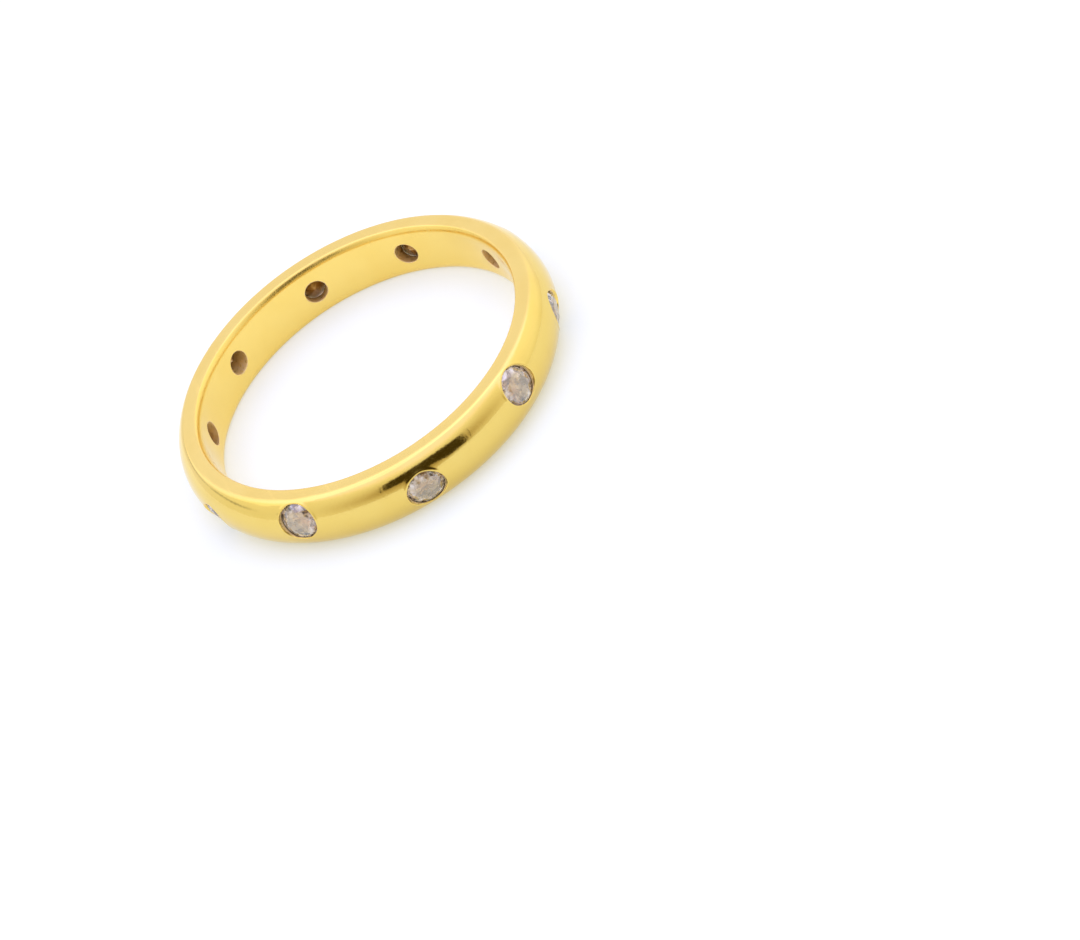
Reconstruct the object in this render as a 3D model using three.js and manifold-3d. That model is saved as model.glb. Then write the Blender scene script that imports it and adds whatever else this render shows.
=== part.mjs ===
// A stacking ring: one gold band with flat sides and a domed outside, and small round brilliants
// sunk into it at staggered heights until their tables are level with the dome. Each stone has a
// seat cut in the band, a lip of metal over its edge and a hole behind it through to the finger.
//
// Millimetres. The ring lies on its side: +Z runs along the finger, the origin is the centre of
// the underside, and angles are counted from +X towards +Y.

import * as THREE from "three";
import { mergeVertices } from "three/addons/utils/BufferGeometryUtils.js";
import Module from "manifold-3d";

const wasm = await Module();
wasm.setup();

// The band's section
const boreDiameter = 16.8;
const bandWidth = 2.9;
const bandThickness = 1.6;
// How far up from the bore the flat side goes before the dome begins
const sideHeight = 0.9;
const sideCornerRadius = 0.3;
const boreEdgeRadius = 0.3;

// The stones. A brilliant's proportions are shares of its diameter.
const stoneDiameter = 1.9;
const cut = { table: 0.57, crown: 0.14, girdle: 0.03, pavilion: 0.43 };
// How far the star facets reach from table to girdle, and the lower halves from girdle to culet
const starReach = 0.5;
const lowerHalfReach = 0.77;
const mainFacets = 8;

// The seats
const seatClearance = 0.025;
const lipOverlap = 0.025;
const tableDepth = 0.08;
const culetHoleDiameter = 1.16;
// Metal left between the outermost seats and the flat side
const edgeLand = 0.08;

// Each stone: its angle round the ring in degrees, how far it sits towards one side as a share of
// the room that the dome leaves there, and the turn of its facets in degrees
const stones = [
  { angle: -164.2, shift: -0.78, turn: 8 },
  { angle: -129.3, shift: 1.0, turn: 31 },
  { angle: -91.8, shift: -0.31, turn: 17 },
  { angle: -53.9, shift: 1.0, turn: 40 },
  { angle: -20.5, shift: -0.55, turn: 3 },
  { angle: 17.4, shift: -0.33, turn: 25 },
  { angle: 55.6, shift: -1.0, turn: 12 },
  { angle: 90.3, shift: -0.8, turn: 36 },
  { angle: 127.5, shift: 0.8, turn: 21 },
  { angle: 159.4, shift: -1.0, turn: 5 },
];

// Steps in the curved surfaces
const ringSteps = 96;
const domeSteps = 10;
const edgeSteps = 3;
const seatSteps = 24;

// The dome is an arc over the width, between the tops of the flat sides
const boreRadius = boreDiameter / 2;
const crestRadius = boreRadius + bandThickness;
const halfWidth = bandWidth / 2;
const domeHeight = bandThickness - sideHeight;
const domeRadius = (halfWidth ** 2 + domeHeight ** 2) / (2 * domeHeight);
const domeCentre = crestRadius - domeRadius;

const stoneRadius = stoneDiameter / 2;
const tableRadius = cut.table * stoneRadius;
const crownHeight = cut.crown * stoneDiameter;
const girdleHeight = cut.girdle * stoneDiameter;
const pavilionDepth = cut.pavilion * stoneDiameter;
// Heights in a stone's own frame, below its table
const girdleTop = -crownHeight;
const girdleBottom = girdleTop - girdleHeight;

const goldColour = 0xe0b64c;
const diamondColour = 0xd8d2d0;

/** Points along an arc in the (radius, height) plane, without its first point. */
function arc(radius, height, size, from, to, steps) {
  const points = [];
  for (let i = 1; i <= steps; i += 1) {
    const angle = from + ((to - from) * i) / steps;
    points.push(new THREE.Vector2(radius + size * Math.cos(angle), height + size * Math.sin(angle)));
  }
  return points;
}

/** The band's closed section: bore, softened edges, flat sides, rounded corners and dome. */
function bandSection() {
  const down = -Math.PI / 2;
  const up = Math.PI / 2;
  const boreEdge = boreRadius + boreEdgeRadius;
  // The corner's arc touches the flat side and the inside of the dome's arc
  const cornerDrop = halfWidth - sideCornerRadius;
  const cornerReach = Math.sqrt((domeRadius - sideCornerRadius) ** 2 - cornerDrop ** 2);
  const cornerAngle = Math.atan2(cornerDrop, cornerReach);
  const corner = domeCentre + cornerReach;
  const start = new THREE.Vector2(boreRadius, boreEdgeRadius);
  return [
    start,
    ...arc(boreEdge, boreEdgeRadius, boreEdgeRadius, -Math.PI, down, edgeSteps),
    new THREE.Vector2(corner, 0),
    ...arc(corner, sideCornerRadius, sideCornerRadius, down, -cornerAngle, edgeSteps),
    ...arc(domeCentre, halfWidth, domeRadius, -cornerAngle, cornerAngle, domeSteps),
    ...arc(corner, bandWidth - sideCornerRadius, sideCornerRadius, cornerAngle, up, edgeSteps),
    new THREE.Vector2(boreEdge, bandWidth),
    ...arc(boreEdge, bandWidth - boreEdgeRadius, boreEdgeRadius, up, Math.PI, edgeSteps),
    start.clone(),
  ];
}

/** A section turned about +Z. */
function turned(section, steps) {
  return new THREE.LatheGeometry(section, steps).rotateX(Math.PI / 2);
}

/** A closed geometry as a solid that can be joined and cut. */
function toSolid(geometry) {
  const bare = geometry.clone();
  bare.deleteAttribute("normal");
  bare.deleteAttribute("uv");
  const merged = mergeVertices(bare);
  const vertProperties = new Float32Array(merged.attributes.position.array);
  const triVerts = new Uint32Array(merged.index.array);
  return new wasm.Manifold(new wasm.Mesh({ numProp: 3, vertProperties, triVerts }));
}

/** A solid's surface as a geometry. */
function toGeometry(solid) {
  const mesh = solid.getMesh();
  const geometry = new THREE.BufferGeometry();
  geometry.setAttribute("position", new THREE.BufferAttribute(mesh.vertProperties, 3));
  geometry.setIndex(new THREE.BufferAttribute(mesh.triVerts, 1));
  geometry.computeVertexNormals();
  return geometry;
}

/** A round brilliant with its table at height 0, facing +Z. */
function brilliant() {
  const corners = [];
  const facet = (...points) => {
    for (let i = 2; i < points.length; i += 1) {
      corners.push(points[0], points[i - 1], points[i]);
    }
  };
  const step = (2 * Math.PI) / mainFacets;
  const half = step / 2;
  const culet = new THREE.Vector3(0, 0, girdleBottom - pavilionDepth);
  const at = (radius, angle, height) =>
    new THREE.Vector3(radius * Math.cos(angle), radius * Math.sin(angle), height);

  // A star's tip and a lower half's tip lie in the planes of the main facets beside them
  const tableSide = tableRadius * Math.cos(half);
  const starRadius = tableSide + starReach * (stoneRadius - tableSide);
  const starShare = (starRadius * Math.cos(half) - tableRadius) / (stoneRadius - tableRadius);
  const tipRadius = (1 - lowerHalfReach) * stoneRadius;
  const tipShare = 1 - (tipRadius * Math.cos(half)) / stoneRadius;

  const table = (i) => at(tableRadius, (i % mainFacets) * step, 0);
  const star = (i) => at(starRadius, (i % mainFacets) * step + half, starShare * girdleTop);
  const tip = (i) => at(tipRadius, (i % mainFacets) * step + half, girdleBottom - tipShare * pavilionDepth);
  const edge = (halves, height) => at(stoneRadius, (halves % (2 * mainFacets)) * half, height);

  facet(...Array.from({ length: mainFacets }, (_, i) => table(i)));
  for (let i = 0; i < mainFacets; i += 1) {
    const before = i + mainFacets - 1;
    const here = 2 * i;
    facet(table(i), star(i), table(i + 1));
    facet(table(i), star(before), edge(here, girdleTop), star(i));
    facet(culet, tip(i), edge(here, girdleBottom), tip(before));
    for (const side of [here, here + 1]) {
      const next = side + 1;
      facet(star(i), edge(side, girdleTop), edge(next, girdleTop));
      facet(tip(i), edge(next, girdleBottom), edge(side, girdleBottom));
      facet(
        edge(side, girdleBottom),
        edge(next, girdleBottom),
        edge(next, girdleTop),
        edge(side, girdleTop),
      );
    }
  }
  const geometry = new THREE.BufferGeometry().setFromPoints(corners);
  geometry.computeVertexNormals();
  return geometry;
}

/** What is cut from the band for one stone, in the stone's own frame. */
function seatCutter() {
  const lipRadius = stoneRadius - lipOverlap;
  const wallRadius = stoneRadius + seatClearance;
  const holeRadius = culetHoleDiameter / 2;
  // The lip's underside runs along the crown and the seat runs along the pavilion
  const crownSlope = crownHeight / (stoneRadius - tableRadius);
  const pavilionSlope = pavilionDepth / stoneRadius;
  const grooveTop = girdleTop + seatClearance;
  const lipBottom = grooveTop + (wallRadius - lipRadius) * crownSlope;
  const seatDrop = seatClearance * Math.hypot(1, pavilionSlope);
  const seatHeight = (radius) => girdleBottom - seatDrop - (stoneRadius - radius) * pavilionSlope;
  // The cutter starts outside the dome and ends inside the bore
  const above = domeHeight;
  const below = -2 * bandThickness;
  return turned(
    [
      new THREE.Vector2(0, below),
      new THREE.Vector2(holeRadius, below),
      new THREE.Vector2(holeRadius, seatHeight(holeRadius)),
      new THREE.Vector2(wallRadius, seatHeight(wallRadius)),
      new THREE.Vector2(wallRadius, grooveTop),
      new THREE.Vector2(lipRadius, lipBottom),
      new THREE.Vector2(lipRadius, above),
      new THREE.Vector2(0, above),
    ],
    seatSteps,
  );
}

/** One stone in its place on the dome. */
function placeStone(stone, index) {
  const material = new THREE.MeshStandardMaterial({
    color: diamondColour,
    roughness: 0.05,
    metalness: 0,
  });
  const mesh = new THREE.Mesh(brilliant(), material);
  mesh.name = `diamond_${String(index + 1).padStart(2, "0")}`;

  // Angles at the centre of the dome's arc. The stone faces straight out from there.
  const room = Math.asin((halfWidth - edgeLand) / domeRadius) - Math.asin(stoneRadius / domeRadius);
  const lean = stone.shift * room;
  const reach = domeRadius - tableDepth;
  mesh.position.set(domeCentre + reach * Math.cos(lean), 0, halfWidth + reach * Math.sin(lean));
  mesh.rotation.set(0, Math.PI / 2 - lean, THREE.MathUtils.degToRad(stone.turn), "XYZ");

  const setting = new THREE.Group();
  setting.rotation.z = THREE.MathUtils.degToRad(stone.angle);
  setting.add(mesh);
  setting.updateMatrixWorld(true);
  return { setting, mesh };
}

/** The band with a seat cut for each stone. */
function makeBand(placed) {
  let solid = toSolid(turned(bandSection(), ringSteps));
  for (const { mesh } of placed) {
    solid = solid.subtract(toSolid(seatCutter().applyMatrix4(mesh.matrixWorld)));
  }
  const material = new THREE.MeshStandardMaterial({
    color: goldColour,
    roughness: 0.25,
    metalness: 1,
  });
  const band = new THREE.Mesh(toGeometry(solid), material);
  band.name = "band";
  return band;
}

const ring = new THREE.Group();
const placed = stones.map(placeStone);
ring.add(makeBand(placed));
for (const { setting } of placed) {
  ring.add(setting);
}

export default ring;
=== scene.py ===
"""A flush-set gold stacking ring in a white light tent, seen from the front and above."""

import math

import bmesh
import bpy
from mathutils import Matrix, Vector, noise


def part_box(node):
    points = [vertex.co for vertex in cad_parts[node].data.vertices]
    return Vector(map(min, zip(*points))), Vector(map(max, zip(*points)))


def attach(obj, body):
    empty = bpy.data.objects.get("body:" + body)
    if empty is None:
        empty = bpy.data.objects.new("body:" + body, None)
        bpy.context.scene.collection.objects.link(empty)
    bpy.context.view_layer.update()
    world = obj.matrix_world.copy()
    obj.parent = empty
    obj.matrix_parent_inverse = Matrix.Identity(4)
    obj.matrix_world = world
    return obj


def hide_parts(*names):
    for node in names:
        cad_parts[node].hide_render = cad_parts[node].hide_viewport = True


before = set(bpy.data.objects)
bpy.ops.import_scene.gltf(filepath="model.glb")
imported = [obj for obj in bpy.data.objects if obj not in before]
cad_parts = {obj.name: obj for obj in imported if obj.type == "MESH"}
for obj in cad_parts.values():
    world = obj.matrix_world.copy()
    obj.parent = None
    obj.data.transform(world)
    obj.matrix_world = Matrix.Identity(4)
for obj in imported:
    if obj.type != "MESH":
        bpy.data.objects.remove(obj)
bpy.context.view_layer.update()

MM = 0.001

# The band's section, as in the solids but for the bore's edge. Its width and its crest come
# from the frame.
BORE_RADIUS = 8.4 * MM
SIDE_HEIGHT = 0.9 * MM
SIDE_CORNER = 0.3 * MM
# A finger's wear: the bore's edge is drawn out to this height, and curves this far round before
# it meets the flat side
BORE_EDGE = 0.43 * MM
BORE_EDGE_TURN = math.radians(41)
BORE_EDGE_CREASE = 0.04 * MM
band_low, band_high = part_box("band")
WIDTH = band_high.z - band_low.z
CREST = band_high.x
HALF = WIDTH / 2
DOME_HEIGHT = CREST - BORE_RADIUS - SIDE_HEIGHT
DOME_RADIUS = (HALF**2 + DOME_HEIGHT**2) / (2 * DOME_HEIGHT)
DOME_CENTRE = CREST - DOME_RADIUS

# A stone's seat, as radii from the stone's axis and heights from its table
STONE_RADIUS = 0.95 * MM
TABLE_RADIUS = 0.57 * STONE_RADIUS
GIRDLE_TOP = -0.266 * MM
GIRDLE_BOTTOM = -0.323 * MM
CULET_HEIGHT = -1.14 * MM
SEAT_GAP = 0.025 * MM
MOUTH_RADIUS = 0.925 * MM
HOLE_RADIUS = 0.58 * MM
MOUTH_ROUND = 0.03 * MM
HOLE_ROUND = 0.03 * MM
# The steps of those two rounded edges, as shares of a quarter turn
ROUND_SHARES = (0.35, 0.7, 1.0)

# The burnished lip: how far the metal stands up round a mouth, how wide that swelling is and
# where its crest lies as a share of that, how steeply it falls, how much its inner wall slopes,
# how high the upright foot below that slope is, its gap to the stone, and how uneven it is
LIP_RISE = 0.018 * MM
LIP_WIDTH = 0.07 * MM
LIP_CREST = 0.6
LIP_FALL = 2
LIP_SLOPE = 0.35
LIP_FOOT = 0.1 * MM
LIP_GAP = 0.012 * MM
LIP_UNEVEN = 0.02 * MM

# Grime and painted shade on the way through a seat, from 0 for clean metal to 1 for packed dirt.
# From 0.8 up it is also painted black shade in the gap round the stone. The values: on the mouth's
# rounded edge, half way down the lip's foot and at its end, in the groove, on the cone, and at
# the hole's inner edge
EDGE_GRIME = 0.05
FOOT_GRIME_AND_SHADE = (0.85, 1.0)
GROOVE_GRIME_AND_SHADE = 0.8
CONE_GRIME = 0.1
HOLE_GRIME = 0.5
# The steps down the lip's slope: how far down it each lies, and its grime
LIP_SLOPE_STEPS = ((0.4, 0.3), (1.0, 0.65))
# Dirt round a hole in the bore: how strong it is at the edge, and how far it spreads
STAIN = 0.45
STAIN_SPREAD = 0.05 * MM
# The grime that a stone's back has at the girdle. It rises to 1 at the culet.
GIRDLE_GRIME = 0.5

# How far the hand-worked surface wanders from a true one, and over what distance
WANDER = 0.006 * MM
WANDER_SPAN = 2.6 * MM

# The mesh: columns round the ring, rows over each stretch of the section, rows over which the
# painted shade on the dome grows from the flat sides and the rubbing of the bore's edges fades,
# and the block of cells that a seat's rings take up on the outside and in the bore
COLUMNS = 480
BORE_ROWS = 22
BORE_EDGE_ROWS = 6
CREASE_ROWS = 2
SIDE_ROWS = 6
CORNER_ROWS = 4
DOME_ROWS = 26
DOME_SHADE_ROWS = 8
RUB_FADE_ROWS = 3
MOUTH_BLOCK = (20, 26)
HOLE_BLOCK = (26, 20)
# How far each of those rings lies from the seat's edge to the block's border
RING_SHARES = (0.0, 0.03, 0.07, 0.12, 0.19, 0.28, 0.39, 0.52, 0.67, 0.83)
# Steps that slide a point onto the outside or the bore, and that find the lip's edge
SLIDE_STEPS = 20
LIP_STEPS = 4
SHARP_ANGLE = math.radians(60)
# What counts as one height, and as one point, in a stone's mesh
SAME_HEIGHT = 0.01 * MM
SAME_POINT = 0.001 * MM


def line_stretch(start, end, rows):
    """A straight stretch of the section, from start to end as (radius, height)."""
    def at(t):
        return start[0] + t * (end[0] - start[0]), start[1] + t * (end[1] - start[1])
    return rows, at


def arc_stretch(centre, size, start, end, rows):
    """A round stretch of the section, between two angles."""
    def at(t):
        angle = start + t * (end - start)
        return centre[0] + size * math.cos(angle), centre[1] + size * math.sin(angle)
    return rows, at


def make_section():
    """The stretches of the closed section, and where the dome's corner lies.

    It runs up the bore, out over the top side, down the dome and back under the bottom side."""
    drop = HALF - SIDE_CORNER
    reach = math.sqrt((DOME_RADIUS - SIDE_CORNER) ** 2 - drop**2)
    turn = math.atan2(drop, reach)
    corner = DOME_CENTRE + reach
    up = math.pi / 2

    # The wide arc of the bore's edge, and the small one between it and the flat side
    small = BORE_EDGE_CREASE
    wide = (BORE_EDGE - small) / math.sin(BORE_EDGE_TURN) + small
    worn = BORE_RADIUS + wide
    crease = worn - (wide - small) * math.cos(BORE_EDGE_TURN)
    tilt = math.pi - BORE_EDGE_TURN
    stretches = [
        line_stretch((BORE_RADIUS, BORE_EDGE), (BORE_RADIUS, WIDTH - BORE_EDGE), BORE_ROWS),
        arc_stretch((worn, WIDTH - BORE_EDGE), wide, math.pi, tilt, BORE_EDGE_ROWS),
        arc_stretch((crease, WIDTH - small), small, tilt, up, CREASE_ROWS),
        line_stretch((crease, WIDTH), (corner, WIDTH), SIDE_ROWS),
        arc_stretch((corner, WIDTH - SIDE_CORNER), SIDE_CORNER, up, turn, CORNER_ROWS),
        arc_stretch((DOME_CENTRE, HALF), DOME_RADIUS, turn, -turn, DOME_ROWS),
        arc_stretch((corner, SIDE_CORNER), SIDE_CORNER, -turn, -up, CORNER_ROWS),
        line_stretch((corner, 0), (crease, 0), SIDE_ROWS),
        arc_stretch((crease, small), small, -up, -tilt, CREASE_ROWS),
        arc_stretch((worn, BORE_EDGE), wide, -tilt, -math.pi, BORE_EDGE_ROWS),
    ]
    return stretches, corner, turn


STRETCHES, CORNER_AT, CORNER_TURN = make_section()
ROWS = sum(rows for rows, _ in STRETCHES)
# The row where each stretch begins
CORNER_START = BORE_ROWS + BORE_EDGE_ROWS + CREASE_ROWS + SIDE_ROWS
DOME_START = CORNER_START + CORNER_ROWS
DOME_END = DOME_START + DOME_ROWS


def section_at(row):
    """(radius, height) at a row of the section, which may lie between two rows."""
    row %= ROWS
    for rows, at in STRETCHES:
        if row <= rows:
            return at(row / rows)
        row -= rows
    return STRETCHES[0][1](0)


def surface_at(column, row):
    """The point of the band at a column and row, with the slight wander of a worked surface."""
    angle = 2 * math.pi * column / COLUMNS
    radius, height = section_at(row)
    point = Vector((radius * math.cos(angle), radius * math.sin(angle), height))
    middle = BORE_RADIUS + SIDE_HEIGHT
    inner = Vector((middle * math.cos(angle), middle * math.sin(angle), HALF))
    outward = (point - inner).normalized()
    return point + outward * (WANDER * noise.noise(point / WANDER_SPAN) - WANDER / 2)


def rubbed(row):
    """How much the bore's edges are rubbed dull at a row: 1 in the middle of an edge."""
    half = (BORE_EDGE_ROWS + CREASE_ROWS) / 2
    away = min(abs(row - BORE_ROWS - half), abs(row - ROWS + half))
    return max(0.0, 1 - away / (half + RUB_FADE_ROWS))


def worn(row):
    """How much painted shade darkens the gold at a row: none on the flat sides and in the bore, and
    all on the dome, a few rows past its corners."""
    away = min(row - CORNER_START, DOME_END + CORNER_ROWS - row)
    return min(1.0, max(0.0, away / DOME_SHADE_ROWS))


def outside_row(radius, height):
    """The row of a point on the dome or on one of its corners."""
    rise = height - HALF
    angle = math.atan2(rise, radius - DOME_CENTRE)
    if abs(angle) <= CORNER_TURN:
        return DOME_START + DOME_ROWS * (CORNER_TURN - angle) / (2 * CORNER_TURN)
    corner_angle = math.atan2(abs(rise) - (HALF - SIDE_CORNER), radius - CORNER_AT)
    share = (corner_angle - CORNER_TURN) / (math.pi / 2 - CORNER_TURN)
    return DOME_START - CORNER_ROWS * share if rise > 0 else DOME_END + CORNER_ROWS * share


def outside_distance(point):
    """How far a point stands out of the dome and its corners."""
    radius, rise = math.hypot(point.x, point.y), abs(point.z - HALF)
    if math.atan2(rise, radius - DOME_CENTRE) <= CORNER_TURN:
        return math.hypot(radius - DOME_CENTRE, rise) - DOME_RADIUS
    return math.hypot(radius - CORNER_AT, rise - (HALF - SIDE_CORNER)) - SIDE_CORNER


class Seat:
    """One stone's place: its axis, read from the stone's own node."""

    def __init__(self, node):
        points = [v.co for v in node.data.vertices]
        middle = sum(points, Vector()) / len(points)
        culet = min(points, key=lambda p: math.hypot(p.x, p.y))
        self.axis = (middle - culet).normalized()
        self.table = culet - self.axis * CULET_HEIGHT
        self.side = Vector((0, 0, 1)).cross(self.axis).normalized()
        self.up = self.axis.cross(self.side)

    def point(self, radius, angle, height):
        """A point by its distance from the axis, its angle from the side, and its height over
        the table."""
        across = self.side * math.cos(angle) + self.up * math.sin(angle)
        return self.table + across * radius + self.axis * height

    def height_of(self, point):
        return (point - self.table).dot(self.axis)

    def radius_of(self, point):
        apart = point - self.table
        return (apart - self.axis * apart.dot(self.axis)).length

    def on_outside(self, radius, angle):
        """Where a line along the axis meets the outside, as (column, row)."""
        point = self.point(radius, angle, 0)
        for _ in range(SLIDE_STEPS):
            point = point - self.axis * outside_distance(point)
        return column_of(point), outside_row(math.hypot(point.x, point.y), point.z)

    def on_bore(self, radius, angle):
        """Where a line along the axis meets the bore, as (column, row)."""
        point = self.point(radius, angle, 0)
        for _ in range(SLIDE_STEPS):
            point = point - self.axis * (math.hypot(point.x, point.y) - BORE_RADIUS)
        return column_of(point), BORE_ROWS * (point.z - BORE_EDGE) / (WIDTH - 2 * BORE_EDGE)

    def lip_foot(self, angle):
        """How far from the axis the lip's foot is, a little uneven."""
        place = self.point(2 * STONE_RADIUS, angle, 0)
        return MOUTH_RADIUS + LIP_UNEVEN * noise.noise(place / STONE_RADIUS)

    def lip_edge(self, foot, angle, height):
        """How far from the axis the lip's inner wall, rising from its foot, meets the dome."""
        edge = foot
        for _ in range(LIP_STEPS):
            rise = self.height_of(surface_at(*self.on_outside(edge, angle))) - height
            edge = foot + LIP_SLOPE * max(rise - LIP_FOOT, 0)
        return edge


def column_of(point):
    return COLUMNS * math.atan2(point.y, point.x) / (2 * math.pi)


def block_round(middle, size):
    """The cells' corners round a block, as (column, row), anticlockwise from one corner."""
    wide, tall = size
    left, low = round(middle[0] - wide / 2), round(middle[1] - tall / 2)
    right, high = left + wide, low + tall
    return (
        [(column, low) for column in range(left, right)]
        + [(right, row) for row in range(low, high)]
        + [(column, high) for column in range(right, left, -1)]
        + [(left, row) for row in range(high, low, -1)]
    )


class BandMesh:
    """The band as a grid of quads with round rings of quads let into it at each seat.

    Its vertices carry grime and painted shade, which is 0 on clean metal and 1 where dirt fills the
    seat and black shade is painted into the gap round the stone, rub on the bore's edges, and a
    painted shade on the outside that darkens the dome."""

    def __init__(self):
        self.mesh = bmesh.new()
        self.grime = self.mesh.verts.layers.float.new("grime")
        self.rub = self.mesh.verts.layers.float.new("rub")
        self.wear = self.mesh.verts.layers.float.new("wear")
        self.grid = {}
        self.taken = set()

    def vertex(self, point, grime=0.0, wear=0.0):
        made = self.mesh.verts.new(point)
        made[self.grime] = grime
        made[self.wear] = wear
        return made

    def corner(self, column, row):
        """The grid's own vertex at a column and row."""
        key = (column % COLUMNS, row % ROWS)
        if key not in self.grid:
            self.grid[key] = self.vertex(surface_at(*key))
            self.grid[key][self.rub] = rubbed(key[1])
            self.grid[key][self.wear] = worn(key[1])
        return self.grid[key]

    def take(self, border):
        """Leaves a block of cells out of the grid."""
        columns, rows = zip(*border)
        for column in range(min(columns), max(columns)):
            for row in range(min(rows), max(rows)):
                self.taken.add((column % COLUMNS, row % ROWS))

    def join(self, ring, other):
        """A band of quads between two rings with as many vertices."""
        count = len(ring)
        for i in range(count):
            after = (i + 1) % count
            self.mesh.faces.new((ring[i], ring[after], other[after], other[i]))

    def fill_grid(self):
        for column in range(COLUMNS):
            for row in range(ROWS):
                if (column, row) not in self.taken:
                    self.mesh.faces.new((
                        self.corner(column, row),
                        self.corner(column + 1, row),
                        self.corner(column + 1, row + 1),
                        self.corner(column, row + 1),
                    ))

    def add_seat(self, seat):
        """The mouth, the way down through the seat, and the hole in the bore."""
        mouth_border = block_round(seat.on_outside(0, 0), MOUTH_BLOCK)
        hole_border = block_round(seat.on_bore(0, 0), HOLE_BLOCK)
        self.take(mouth_border)
        self.take(hole_border)

        # The mouth's border runs with falling height, because the section does
        count = len(mouth_border)
        first = math.atan2(MOUTH_BLOCK[1], -MOUTH_BLOCK[0])
        angles = [first - 2 * math.pi * i / count for i in range(count)]
        rings = self.mouth(seat, angles, mouth_border)
        rings += self.groove_and_cone(seat, angles)
        rings += self.hole(seat, angles, hole_border)
        for one, other in zip(rings, rings[1:]):
            self.join(one, other)

    def ring(self, seat, angles, radii, heights, grime):
        places = zip(radii, angles, heights)
        return [self.vertex(seat.point(*place), grime) for place in places]

    def mouth(self, seat, angles, border):
        """The mouth's surround, its rounded edge, and the lip down to its foot over the stone."""
        crown_slope = -GIRDLE_TOP / (STONE_RADIUS - TABLE_RADIUS)
        foot = [seat.lip_foot(angle) for angle in angles]
        crown = [GIRDLE_TOP + (STONE_RADIUS - r) * crown_slope for r in foot]
        foot_height = [h + LIP_GAP for h in crown]
        lip = [seat.lip_edge(*place) for place in zip(foot, angles, foot_height)]

        edges = [r + MOUTH_ROUND for r in lip]
        rings = self.surround(seat, angles, border, seat.on_outside, edges, self.lip)
        rings.reverse()
        start = [seat.height_of(v.co) for v in rings[-1]]
        for part in ROUND_SHARES:
            bend = part * math.pi / 2
            radii = [r - MOUTH_ROUND * math.sin(bend) for r in edges]
            heights = [h - MOUTH_ROUND * (1 - math.cos(bend)) for h in start]
            rings.append(self.ring(seat, angles, radii, heights, EDGE_GRIME))

        lip_top = [h - MOUTH_ROUND for h in start]
        foot_top = [min(h, f + LIP_FOOT) for h, f in zip(lip_top, foot_height)]
        for part, grime in LIP_SLOPE_STEPS:
            radii = [a + part * (b - a) for a, b in zip(lip, foot)]
            heights = [a + part * (b - a) for a, b in zip(lip_top, foot_top)]
            rings.append(self.ring(seat, angles, radii, heights, grime))
        foot_middle = [(a + b) / 2 for a, b in zip(foot_top, foot_height)]
        for heights, grime in zip((foot_middle, foot_height), FOOT_GRIME_AND_SHADE):
            rings.append(self.ring(seat, angles, foot, heights, grime))
        return rings

    def groove_and_cone(self, seat, angles):
        """The groove round the girdle, and the cone under the pavilion down to the hole."""
        slope = (GIRDLE_BOTTOM - CULET_HEIGHT) / STONE_RADIUS
        drop = SEAT_GAP * math.hypot(1, slope)
        wall = STONE_RADIUS + SEAT_GAP
        round_radius = HOLE_RADIUS + HOLE_ROUND

        def cone_height(radius):
            return GIRDLE_BOTTOM - drop - (STONE_RADIUS - radius) * slope

        rings = []
        for radius, height, grime in (
            (wall, GIRDLE_TOP + SEAT_GAP, GROOVE_GRIME_AND_SHADE),
            (wall, cone_height(wall), CONE_GRIME),
            (round_radius, cone_height(round_radius), CONE_GRIME),
            (HOLE_RADIUS, cone_height(HOLE_RADIUS), HOLE_GRIME),
        ):
            count = len(angles)
            rings.append(self.ring(seat, angles, [radius] * count, [height] * count, grime))
        return rings

    def hole(self, seat, angles, border):
        """The hole's rounded edge and its surround in the bore."""
        edges = [HOLE_RADIUS + HOLE_ROUND] * len(angles)
        border = self.turned(border, seat, angles)
        outer = self.surround(seat, angles, border, seat.on_bore, edges, self.stain)
        ends = [seat.height_of(v.co) for v in outer[0]]
        rings = []
        for part in reversed(ROUND_SHARES):
            bend = part * math.pi / 2
            radii = [r - HOLE_ROUND * math.sin(bend) for r in edges]
            heights = [h + HOLE_ROUND * (1 - math.cos(bend)) for h in ends]
            grime = STAIN + part * (HOLE_GRIME - STAIN)
            rings.append(self.ring(seat, angles, radii, heights, grime))
        return rings + outer

    def turned(self, border, seat, angles):
        """The border's corners in the order that best follows the angles."""
        middle = seat.on_bore(0, 0)
        def off(corner, angle):
            column, row = seat.on_bore(HOLE_RADIUS, angle)
            want = math.atan2(row - middle[1], column - middle[0])
            have = math.atan2(corner[1] - middle[1], corner[0] - middle[0])
            return abs(math.remainder(want - have, 2 * math.pi))
        border = list(reversed(border))
        start = min(range(len(border)), key=lambda i: off(border[i], angles[0]))
        return border[start:] + border[:start]

    def surround(self, seat, angles, border, on_surface, edges, finish):
        """Rings from a round edge out to a block's border."""
        inner = [on_surface(edge, angle) for edge, angle in zip(edges, angles)]
        rings = []
        for share in RING_SHARES:
            ring = []
            for (column, row), (far_column, far_row), edge in zip(inner, border, edges):
                column += COLUMNS * round((far_column - column) / COLUMNS)
                point = surface_at(
                    column + share * (far_column - column),
                    row + share * (far_row - row),
                )
                ring.append(finish(seat, point, seat.radius_of(point) - edge))
            rings.append(ring)
        rings.append([self.corner(*corner) for corner in border])
        return rings

    def lip(self, seat, point, away):
        """A vertex beside a mouth, raised where the lip was burnished over the stone."""
        rise = LIP_RISE * math.exp(-((away / LIP_WIDTH - LIP_CREST) ** 2) * LIP_FALL)
        # Painted shade on the dome, as on the grid round it
        wear = worn(outside_row(math.hypot(point.x, point.y), point.z))
        return self.vertex(point + seat.axis * rise, 0.0, wear)

    def stain(self, seat, point, away):
        """A vertex beside a hole in the bore, where dirt has spread a little."""
        return self.vertex(point, STAIN * math.exp(-away / STAIN_SPREAD))

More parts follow.
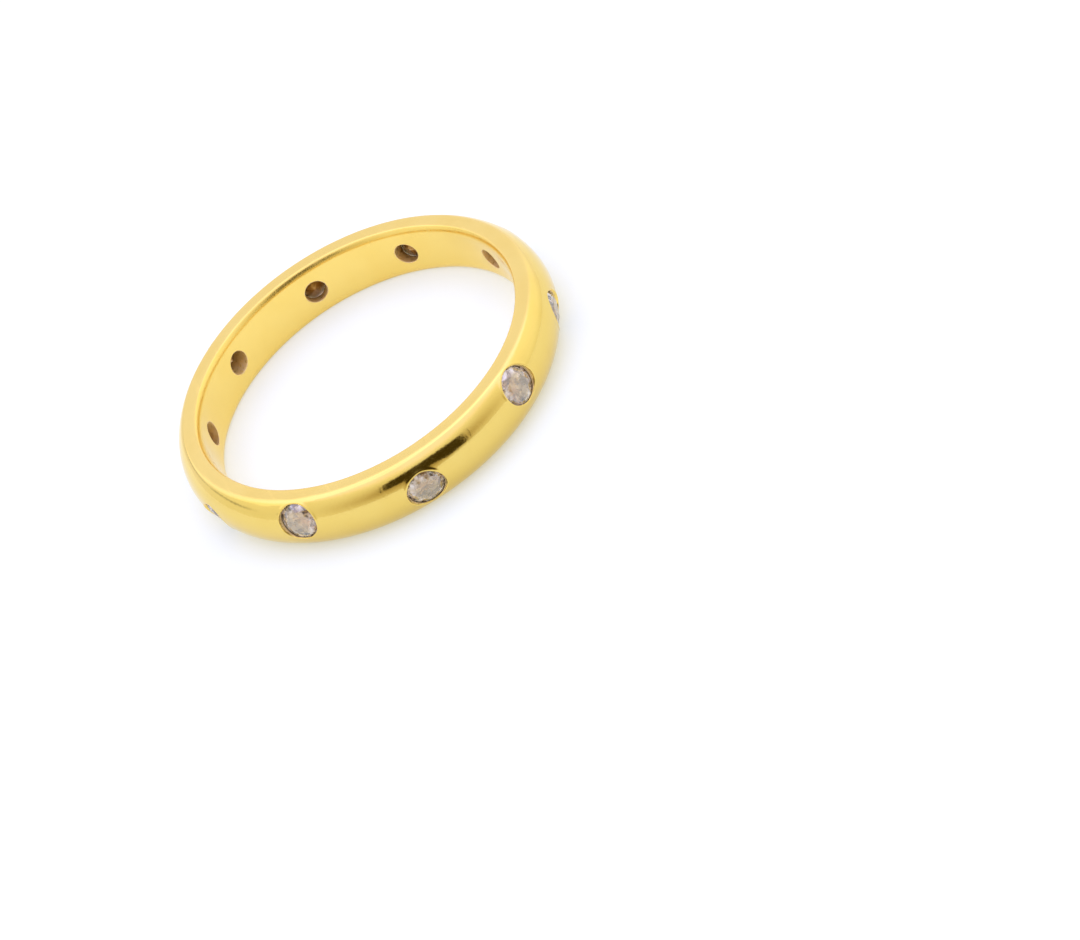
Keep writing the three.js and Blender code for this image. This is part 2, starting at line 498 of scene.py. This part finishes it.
    def finish(self, name):
        bmesh.ops.recalc_face_normals(self.mesh, faces=self.mesh.faces)
        data = bpy.data.meshes.new(name)
        self.mesh.to_mesh(data)
        self.mesh.free()
        data.shade_smooth()
        data.set_sharp_from_angle(angle=SHARP_ANGLE)
        made = bpy.data.objects.new(name, data)
        bpy.context.scene.collection.objects.link(made)
        return made


class Nodes:
    """A short way to write a node tree."""

    def __init__(self, tree):
        self.tree = tree
        tree.nodes.clear()

    def add(self, kind, settings=None, **inputs):
        node = self.tree.nodes.new(kind)
        for name, value in (settings or {}).items():
            setattr(node, name, value)
        for name, value in inputs.items():
            self.set(node, name.replace("_", " "), value)
        return node

    def set(self, node, name, value):
        socket = node.inputs[int(name)] if name.isdigit() else node.inputs[name]
        if isinstance(value, bpy.types.NodeSocket):
            self.tree.links.new(value, socket)
        else:
            socket.default_value = value

    def math(self, operation, *values):
        node = self.tree.nodes.new("ShaderNodeMath")
        node.operation = operation
        for i, value in enumerate(values):
            self.set(node, str(i), value)
        return node.outputs[0]

    def ramp(self, value, low, high, to_low=0.0, to_high=1.0):
        node = self.add("ShaderNodeMapRange", {"interpolation_type": "SMOOTHSTEP"})
        self.set(node, "Value", value)
        self.set(node, "From Min", low)
        self.set(node, "From Max", high)
        self.set(node, "To Min", to_low)
        self.set(node, "To Max", to_high)
        return node.outputs[0]

    def mix(self, share, one, other, kind="RGBA"):
        """One and other mixed by share: two colours, or two numbers where kind is FLOAT. The
        node's sockets for each kind have the same names, so they are taken by their number."""
        first, second, result = (6, 7, 2) if kind == "RGBA" else (2, 3, 0)
        node = self.add("ShaderNodeMix", {"data_type": kind})
        for index, value in ((0, share), (first, one), (second, other)):
            self.set(node, str(index), value)
        return node.outputs[result]

    def noise(self, where, scale, detail=2.0, roughness=0.5):
        return self.add(
            "ShaderNodeTexNoise", Vector=where, Scale=scale, Detail=detail, Roughness=roughness
        ).outputs["Fac"]

    def pattern(self, where, kind, to_low=0.0, to_high=1.0):
        """One of the patterns below, from to_low to to_high."""
        noise_value = self.noise(where, kind["scale"], kind["detail"], kind.get("roughness", 0.5))
        return self.ramp(noise_value, *kind["edges"], to_low, to_high)

    def spotted(self, value, where, kind):
        """A value made uneven: a noise adds up to half of swing, or takes as much away."""
        spots = self.math("SUBTRACT", self.noise(where, kind["scale"], kind["detail"]), 0.5)
        return self.math("ADD", value, self.math("MULTIPLY", spots, kind["swing"]))

    def attribute(self, name):
        return self.add("ShaderNodeAttribute", {"attribute_name": name}).outputs["Fac"]


GOLD = (0.97, 0.72, 0.20, 1)
GOLD_CLOUDED = (0.955, 0.695, 0.18, 1)
# What the painted shade on the dome leaves of the gold's colour
DOME_SHADE_SHARE = (0.85, 0.85, 0.83, 1)
BROWN_DIRT = (0.84, 0.62, 0.30, 1)
# Near-black: packed dirt, and painted shade in the gap under the lip round each stone
BLACK_DIRT_AND_SHADE = (0.035, 0.018, 0.008, 1)
# Patterns: a noise's scale per metre, its detail, and the values between which it turns from
# one state to the other. Swing is how far a noise shifts what it makes uneven.
CLOUDS = {"scale": 450, "detail": 3, "edges": (0.35, 0.7)}
GRAIN = {"scale": 40000, "detail": 2, "edges": (0.4, 0.6)}
PATCHES = {"scale": 700, "detail": 4, "edges": (0.35, 0.7), "roughness": 0.6}
DIRT_SPOTS = {"scale": 9000, "detail": 3, "swing": 0.5}
# The grime-and-shade value at which dirt begins and is full, and at which it turns black with
# packed dirt and painted shade
DIRT_EDGES = (0.25, 0.6)
BLACK_EDGES = (0.8, 1.0)
# Each set of scratches is a noise with a turn and a scale. The turn is shared out over the three
# axes, and the noise is stretched along the axes into thin lines.
SCRATCHES = ((0.6, 2600), (-0.9, 3100), (2.1, 2300))
SCRATCH_TURN = (1.0, 1.7, 0.6)
SCRATCH_STRETCH = (1, 0.03, 0.5)
SCRATCH_DETAIL = 1
SCRATCH_EDGES = (0.66, 0.74)
# The polish's roughness, from its sharpest to its softest grain, and what clouded patches,
# scratches, dirt and rubbing add at most
GRAIN_ROUGHNESS = (0.03, 0.14)
PATCH_ROUGHNESS = 0.04
SCRATCH_ROUGHNESS = 0.06
DIRT_ROUGHNESS = 0.4
RUB_ROUGHNESS = 0.2
# How much of the metal's look dirt takes away
DIRT_COVER = 0.7
# The orange peel, which is a noise, and the scratches: how deep they are and how strongly they show
PEEL = {"scale": 9000, "detail": 3, "depth": 0.02 * MM, "strength": 0.1}
SCRATCH_CUT = {"depth": 0.01 * MM, "strength": 0.12}

DIAMOND_IOR = 2.42
FILM_SPOTS = {"scale": 2500, "detail": 3, "swing": 0.4}
SMEARS = {"scale": 1500, "detail": 3, "edges": (0.4, 0.75)}
VEIL_AND_GLINT_SPOTS = {"scale": 3200, "detail": 4, "edges": (0.44, 0.62)}
# The grime at which the film begins and is full, and at which it turns brown
FILM_EDGES = (0.15, 0.5)
BROWN_EDGES = (0.62, 0.85)
CLEAR = (0.97, 0.91, 0.81, 1)
# The table's brown: a painted reflection of the seat seen through it
TABLE_PAINTED_REFLECTION = (0.91, 0.70, 0.36, 1)
# The least and the most that the veil covers, whose white patches on the crown are partly
# painted glints, what it covers on the table, where it is a painted brown reflection of the
# seat, and how much of the table's veil is that even one
VEIL_AND_GLINTS = (0.03, 0.75)
TABLE_VEIL_AND_REFLECTION = 0.32
TABLE_SHARE = 0.75
# How much of the back the film covers, and what its brown part adds
FILM_COVER = 0.65
BROWN_COVER = 0.15
SMEAR_ROUGHNESS = 0.08
FILM_ROUGHNESS = 0.05
PALE_FILM = (0.98, 0.93, 0.86, 1)
BROWN_FILM = (0.62, 0.43, 0.20, 1)


def gold_material():
    """Worn polish: fine scratches, a faint orange peel, and brown tarnish where the mesh has
    grime. It also holds painted shade: near-black in the gap round each stone, and a darker dome."""
    material = bpy.data.materials.new("worn_gold")
    material.use_nodes = True
    n = Nodes(material.node_tree)
    where = n.add("ShaderNodeTexCoord").outputs["Object"]
    grime = n.attribute("grime")
    dirt = n.ramp(n.spotted(grime, where, DIRT_SPOTS), *DIRT_EDGES)

    colour = n.mix(n.pattern(where, CLOUDS), GOLD, GOLD_CLOUDED)
    # Painted shade: the dome's gold is darker than the flat sides'
    colour = n.mix(n.attribute("wear"), colour, DOME_SHADE_SHARE)
    colour.node.blend_type = "MULTIPLY"
    colour = n.mix(dirt, colour, BROWN_DIRT)
    # Painted shade: near-black in the groove and at the lip's foot, where the lip overhangs the
    # stone
    colour = n.mix(n.ramp(grime, *BLACK_EDGES), colour, BLACK_DIRT_AND_SHADE)

    # Scratches run every way: thin lines of stretched noises
    scratches = []
    for turn, scale in SCRATCHES:
        mapping = n.add("ShaderNodeMapping", Vector=where)
        mapping.inputs["Rotation"].default_value = [turn * share for share in SCRATCH_TURN]
        mapping.inputs["Scale"].default_value = SCRATCH_STRETCH
        lines = n.noise(mapping.outputs[0], scale, SCRATCH_DETAIL)
        scratches.append(n.ramp(lines, *SCRATCH_EDGES))
    scratch = n.math("MAXIMUM", n.math("MAXIMUM", scratches[0], scratches[1]), scratches[2])

    # A polish full of marks too fine to see: sharp and soft gloss side by side
    rough = n.pattern(where, GRAIN, *GRAIN_ROUGHNESS)
    for amount, most in (
        (n.pattern(where, PATCHES), PATCH_ROUGHNESS),
        (scratch, SCRATCH_ROUGHNESS),
        (dirt, DIRT_ROUGHNESS),
        (n.attribute("rub"), RUB_ROUGHNESS),
    ):
        rough = n.math("ADD", rough, n.math("MULTIPLY", amount, most))

    peel = n.add(
        "ShaderNodeBump", Strength=PEEL["strength"], Distance=PEEL["depth"],
        Height=n.noise(where, PEEL["scale"], PEEL["detail"]),
    )
    cut = n.add(
        "ShaderNodeBump", {"invert": True}, Strength=SCRATCH_CUT["strength"],
        Distance=SCRATCH_CUT["depth"], Height=scratch, Normal=peel.outputs[0],
    )
    shader = n.add(
        "ShaderNodeBsdfPrincipled", Base_Color=colour, Roughness=rough, Normal=cut.outputs[0],
        Metallic=n.math("SUBTRACT", 1.0, n.math("MULTIPLY", dirt, DIRT_COVER)),
    )
    n.add("ShaderNodeOutputMaterial", Surface=shader.outputs[0])
    return material


def diamond_material():
    """Clear stone with a thin greasy veil, patchy white on its crown, where the patches are partly
    painted glints, and a table painted brownish, a painted reflection of the seat seen through it.
    A thicker film on its back throws light back as foil does, and is brown round the culet."""
    material = bpy.data.materials.new("cut_diamond")
    material.use_nodes = True
    n = Nodes(material.node_tree)
    where = n.add("ShaderNodeTexCoord").outputs["Object"]
    marks = n.spotted(n.attribute("grime"), where, FILM_SPOTS)
    film = n.ramp(marks, *FILM_EDGES)
    brown = n.ramp(marks, *BROWN_EDGES)
    cover = n.math("ADD", FILM_COVER, n.math("MULTIPLY", brown, BROWN_COVER))
    smear = n.pattern(where, SMEARS, 0.0, SMEAR_ROUGHNESS)

    table = n.attribute("table")
    # Greasy veil, whose white patches on the crown are partly painted glints
    veil_and_glints = n.pattern(where, VEIL_AND_GLINT_SPOTS, *VEIL_AND_GLINTS)
    veil_and_glints = n.mix(n.math("MULTIPLY", table, TABLE_SHARE), veil_and_glints, TABLE_VEIL_AND_REFLECTION, "FLOAT")
    veil_and_glints = n.math("MULTIPLY", veil_and_glints, n.math("SUBTRACT", 1.0, film))

    # Painted reflection: the table tinted brown, as the seat seen through it
    colour = n.mix(table, CLEAR, TABLE_PAINTED_REFLECTION)
    colour = n.mix(film, colour, n.mix(brown, PALE_FILM, BROWN_FILM))
    shader = n.add(
        "ShaderNodeBsdfPrincipled", Base_Color=colour, IOR=DIAMOND_IOR,
        Metallic=n.math("MULTIPLY", film, cover),
        Roughness=n.math("ADD", smear, n.math("MULTIPLY", film, FILM_ROUGHNESS)),
        Transmission_Weight=n.math("SUBTRACT", 1.0, veil_and_glints),
    )
    n.add("ShaderNodeOutputMaterial", Surface=shader.outputs[0])
    return material


# The tent's parts, as directions in degrees: azimuth from the front, which is -Y, and height
# over the horizon. A pair is where a soft change starts and where it ends.
# The dim, warm front fades out to both sides and upwards. Near the horizon, only a share of its
# dimness is left.
FRONT = (5, 75)
DIM_HEIGHT = (12, 44)
DIM_TINT = (1.0, 0.82, 0.48, 1)
DIM_DEPTH = 0.55
HORIZON = (-1, 16)
DIM_AT_HORIZON = 0.4
# The cool back and the brighter, cooler top
BACK = (110, 160)
BACK_TINT = (0.94, 0.945, 1.24, 1)
TOP = (36, 52)
TOP_LEVEL = 0.15
TOP_COOL = (38, 54)
TOP_TINT = (1.07, 1.01, 1.5, 1)
# A lamp's glow on the tent's right side: its middle, how far from there it fades, the heights
# over which it comes up, and what it adds
GLOW = {"azimuth": 112, "reach": (20, 70), "height": (-2, 12), "level": 0.18}
# A seam in the tent's left side: its middle, the heights and the azimuths between which it
# rises towards the back, where its ends and its edges fade, and how much it darkens
SEAM = {
    "azimuth": -132, "height": (15, 27), "rise": (-120, -165),
    "length": (24, 38), "width": (1.0, 2.5), "depth": 0.5,
}
# The opening's low edge steps down towards its right, and its top falls off to both sides with
# the square of the azimuth
OPENING = {"azimuth": (-25, 26), "low": (15, 4), "step": (2, 16), "top": 37.5, "fall": 0.01}
OPENING_SOFT = 2.0
OPENING_COLOUR = (0.055, 0.040, 0.008, 1)

# The floor's half size, its mottle, the two tones of that, its roughness, its own glow, and how
# far from the ring its painted shade towards the front begins and ends, in metres
FLOOR_HALF = 1.0
MOTTLE = {"scale": 60, "detail": 2}
FLOOR_TONES = (0.60, 0.654, 0.575, 1), (0.62, 0.674, 0.595, 1)
FLOOR_ROUGHNESS = 0.8
FLOOR_GLOW = 0.35
FLOOR_SHADE_SPAN = (0.06, 0.2)
WHITE = (1, 1, 1, 1)
BLACK = (0, 0, 0, 1)


def azimuth_of(n, where):
    """Degrees round from the front to a direction, as a socket."""
    parts = n.add("ShaderNodeSeparateXYZ", Vector=where).outputs
    return n.math("DEGREES", n.math("ARCTAN2", parts[0], n.math("MULTIPLY", parts[1], -1.0)))


def frontness(n, where):
    """1 towards the front and 0 towards the sides and the back."""
    return n.ramp(n.math("ABSOLUTE", azimuth_of(n, where)), *FRONT, 1.0, 0.0)


def floor_material():
    """A white sheet that glows a little, as one lit from below does, with the faintest mottle. Its
    colour and glow are painted darker towards the tent's front, a painted shade."""
    material = bpy.data.materials.new("white_card")
    material.use_nodes = True
    n = Nodes(material.node_tree)
    where = n.add("ShaderNodeTexCoord").outputs["Object"]
    tone = n.mix(n.noise(where, MOTTLE["scale"], MOTTLE["detail"]), *FLOOR_TONES)
    far = n.add("ShaderNodeVectorMath", {"operation": "LENGTH"})
    n.set(far, "0", where)
    # Painted shade: the floor darker towards the front, as the tent's dim front
    shade = n.math("MULTIPLY", n.ramp(far.outputs["Value"], *FLOOR_SHADE_SPAN), frontness(n, where))
    shade = n.math("MULTIPLY", shade, DIM_DEPTH * DIM_AT_HORIZON)
    tone = n.mix(shade, tone, BLACK)
    shader = n.add("ShaderNodeBsdfPrincipled", Base_Color=tone, Roughness=FLOOR_ROUGHNESS)
    n.set(shader, "Emission Color", n.mix(shade, WHITE, BLACK))
    n.set(shader, "Emission Strength", FLOOR_GLOW)
    n.add("ShaderNodeOutputMaterial", Surface=shader.outputs[0])
    return material


def make_world():
    """A white tent whose front is dimmer and has a dark opening.

    Its level is how bright a direction is, and its tint is that light's colour."""
    world = bpy.data.worlds.new("tent")
    bpy.context.scene.world = world
    world.use_nodes = True
    n = Nodes(world.node_tree)
    where = n.add("ShaderNodeTexCoord").outputs["Generated"]
    parts = n.add("ShaderNodeSeparateXYZ", Vector=where).outputs
    azimuth = azimuth_of(n, where)
    height = n.math("DEGREES", n.math("ARCSINE", parts[2]))

    dim = n.math("MULTIPLY", frontness(n, where), n.ramp(height, *DIM_HEIGHT, 1.0, 0.0))
    dim = n.math("MULTIPLY", dim, n.ramp(height, *HORIZON, DIM_AT_HORIZON, 1.0))
    level = n.math("SUBTRACT", 1.0, n.math("MULTIPLY", dim, DIM_DEPTH))
    level = n.math("ADD", level, n.ramp(height, *TOP, 0.0, TOP_LEVEL))
    away = n.math("ABSOLUTE", n.math("SUBTRACT", azimuth, GLOW["azimuth"]))
    side = n.ramp(away, *GLOW["reach"], 1.0, 0.0)
    glow = n.math("MULTIPLY", side, n.ramp(height, *GLOW["height"]))
    level = n.math("ADD", level, n.math("MULTIPLY", glow, GLOW["level"]))

    back = n.ramp(n.math("ABSOLUTE", azimuth), *BACK)
    tint = n.mix(dim, n.mix(back, WHITE, BACK_TINT), DIM_TINT)
    tint = n.mix(n.ramp(height, *TOP_COOL), tint, TOP_TINT)

    away = n.math("ABSOLUTE", n.math("SUBTRACT", azimuth, SEAM["azimuth"]))
    along = n.ramp(away, *SEAM["length"], 1.0, 0.0)
    line = n.ramp(azimuth, *SEAM["rise"], *SEAM["height"])
    off = n.math("ABSOLUTE", n.math("SUBTRACT", height, line))
    seam = n.math("MULTIPLY", along, n.ramp(off, *SEAM["width"], 1.0, 0.0))
    shade = n.math("MULTIPLY", seam, SEAM["depth"])
    level = n.math("MULTIPLY", level, n.math("SUBTRACT", 1.0, shade))

    def past(value, edge):
        return n.ramp(n.math("SUBTRACT", value, edge), -OPENING_SOFT, OPENING_SOFT)

    left, right = OPENING["azimuth"]
    bottom = n.ramp(azimuth, *OPENING["step"], *OPENING["low"])
    fall = n.math("MULTIPLY", n.math("MULTIPLY", azimuth, azimuth), OPENING["fall"])
    top = n.math("SUBTRACT", OPENING["top"], fall)
    across = n.math("MULTIPLY", past(azimuth, left), past(right, azimuth))
    upright = n.math("MULTIPLY", past(height, bottom), past(top, height))
    opening = n.math("MULTIPLY", across, upright)
    white = n.add("ShaderNodeBackground", Color=tint, Strength=level)
    dark = n.add("ShaderNodeBackground", Color=OPENING_COLOUR, Strength=1.0)
    both = n.add("ShaderNodeMixShader")
    n.set(both, "0", opening)
    n.set(both, "1", white.outputs[0])
    n.set(both, "2", dark.outputs[0])
    n.add("ShaderNodeOutputWorld", Surface=both.outputs[0])


def make_floor():
    data = bpy.data.meshes.new("floor")
    near, far = -FLOOR_HALF, FLOOR_HALF
    corners = [(near, near, 0), (far, near, 0), (far, far, 0), (near, far, 0)]
    data.from_pydata(corners, [], [(0, 1, 2, 3)])
    floor = bpy.data.objects.new("floor", data)
    bpy.context.scene.collection.objects.link(floor)
    data.materials.append(floor_material())


# The camera: its place, what it points at, its roll, and its lens and sensor in millimetres
CAMERA_PLACE = Vector((4.48, -138.62, 100.21)) * MM
CAMERA_AIM = Vector((4.48, -13.45, 1.45)) * MM
CAMERA_ROLL = math.radians(32.9)
LENS = 118.36
SENSOR = 36
CLIP_START = 0.01

# The soft box: its side and its place in metres, its power and its colour
BOX_SIDE = 0.5
BOX_PLACE = Vector((-0.12, 0.10, 0.35))
BOX_POWER = 0.2
BOX_COLOUR = (1.0, 0.96, 1.15)


def make_camera():
    data = bpy.data.cameras.new("camera")
    data.lens = LENS
    data.sensor_width = SENSOR
    data.clip_start = CLIP_START
    camera = bpy.data.objects.new("camera", data)
    bpy.context.scene.collection.objects.link(camera)
    look = (CAMERA_AIM - CAMERA_PLACE).to_track_quat("-Z", "Y").to_matrix().to_4x4()
    roll = Matrix.Rotation(-CAMERA_ROLL, 4, "Z")
    camera.matrix_world = Matrix.Translation(CAMERA_PLACE) @ look @ roll
    bpy.context.scene.camera = camera


def make_lights():
    """One large soft box above and behind, for a direction in the shadows."""
    data = bpy.data.lights.new("softbox", "AREA")
    data.shape = "RECTANGLE"
    data.size = BOX_SIDE
    data.size_y = BOX_SIDE
    data.energy = BOX_POWER
    data.color = BOX_COLOUR
    box = bpy.data.objects.new("softbox", data)
    box.location = BOX_PLACE
    box.rotation_euler = (-BOX_PLACE).to_track_quat("-Z", "Y").to_euler()
    bpy.context.scene.collection.objects.link(box)


def dress_band(seats):
    made = BandMesh()
    for seat in seats.values():
        made.add_seat(seat)
    made.fill_grid()
    band = made.finish("gold_band")
    band.data.materials.append(gold_material())
    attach(band, "root")
    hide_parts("band")


def dress_stone(name, seat, material):
    """The stone's own facets, with its table and the film on its back marked."""
    mesh = bmesh.new()
    mesh.from_mesh(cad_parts[name].data)
    bmesh.ops.remove_doubles(mesh, verts=mesh.verts, dist=SAME_POINT)
    grime = mesh.verts.layers.float.new("grime")
    table = mesh.verts.layers.float.new("table")
    for vertex in mesh.verts:
        height = seat.height_of(vertex.co)
        depth = max(0.0, (GIRDLE_BOTTOM - height) / (GIRDLE_BOTTOM - CULET_HEIGHT))
        on_back = height < GIRDLE_TOP - SAME_HEIGHT
        vertex[grime] = GIRDLE_GRIME + (1 - GIRDLE_GRIME) * depth if on_back else 0.0
        vertex[table] = 1.0 if height > -SAME_HEIGHT else 0.0
    data = bpy.data.meshes.new("cut_" + name)
    mesh.to_mesh(data)
    mesh.free()
    data.shade_flat()
    data.materials.append(material)
    stone = bpy.data.objects.new("cut_" + name, data)
    bpy.context.scene.collection.objects.link(stone)
    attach(stone, "root")
    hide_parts(name)


stone_seats = {name: Seat(node) for name, node in sorted(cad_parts.items()) if name != "band"}
stone_material = diamond_material()
dress_band(stone_seats)
for stone_name, stone_seat in stone_seats.items():
    dress_stone(stone_name, stone_seat, stone_material)
make_world()
make_lights()
make_floor()
make_camera()
bpy.context.scene.view_settings.view_transform = "Standard"
